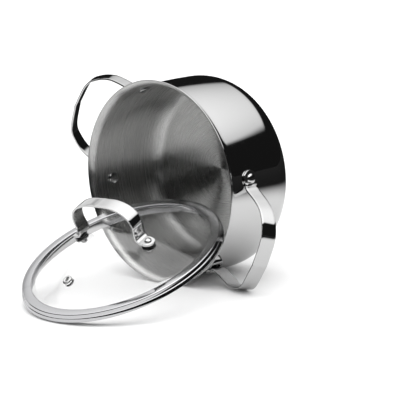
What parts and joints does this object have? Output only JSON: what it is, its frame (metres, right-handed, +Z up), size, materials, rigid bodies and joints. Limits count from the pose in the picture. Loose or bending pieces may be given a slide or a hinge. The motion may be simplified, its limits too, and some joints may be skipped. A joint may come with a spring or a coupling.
{
  "type": "stock pot",
  "caption": "Low bellied steel pot with a flared rim and two riveted strap handles, on its side with its domed glass lid leaning in the mouth.",
  "frame": {"origin": "on the floor, under the middle of the whole arrangement's box", "axes": "+Z up; the pot lies with its axis along Y, dipped 2.7 degrees at its base, and its mouth faces -Y; one side handle points 30 degrees below +X and the other 30 degrees above -X"},
  "size_m": [0.324, 0.2988, 0.2401],
  "materials": {
    "pot_steel": "mirror-polished stainless steel outside, satin-brushed inside",
    "base_steel": "spun stainless steel",
    "core_aluminium": "plain",
    "handle_steel": "polished stainless steel",
    "rivet_steel": "polished stainless steel",
    "ring_steel": "polished and lightly brushed stainless steel",
    "seal_silicone": "translucent grey silicone",
    "lid_glass": "clear tempered glass",
    "gasket_rubber": "black silicone",
    "fixing_steel": "satin stainless steel"
  },
  "bodies": {
    "pot": {"pot_shell": "pot_steel", "base_core": "core_aluminium", "base_cap": "base_steel", "side_handle_right": "handle_steel", "side_handle_left": "handle_steel", "rivet_right_lower": "rivet_steel", "rivet_right_upper": "rivet_steel", "rivet_left_lower": "rivet_steel", "rivet_left_upper": "rivet_steel"},
    "lid": {"lid_ring": "ring_steel", "lid_ring_seal": "seal_silicone", "lid_glass": "lid_glass", "lid_handle": "handle_steel", "foot_gasket_right": "gasket_rubber", "foot_gasket_left": "gasket_rubber", "under_gasket_right": "gasket_rubber", "under_gasket_left": "gasket_rubber", "backing_washer_right": "fixing_steel", "backing_washer_left": "fixing_steel", "lid_nut_right": "fixing_steel", "lid_nut_left": "fixing_steel", "lid_screw_right": "fixing_steel", "lid_screw_left": "fixing_steel", "vent_sleeve": "gasket_rubber", "vent_eyelet": "fixing_steel", "vent_collar": "fixing_steel"}
  },
  "joints": [
    {"name": "lid_lift", "type": "slide", "parent": "pot", "child": "lid", "axis": [0, -0.6, 0.8], "range_m": [0, 0.2]}
  ]
}
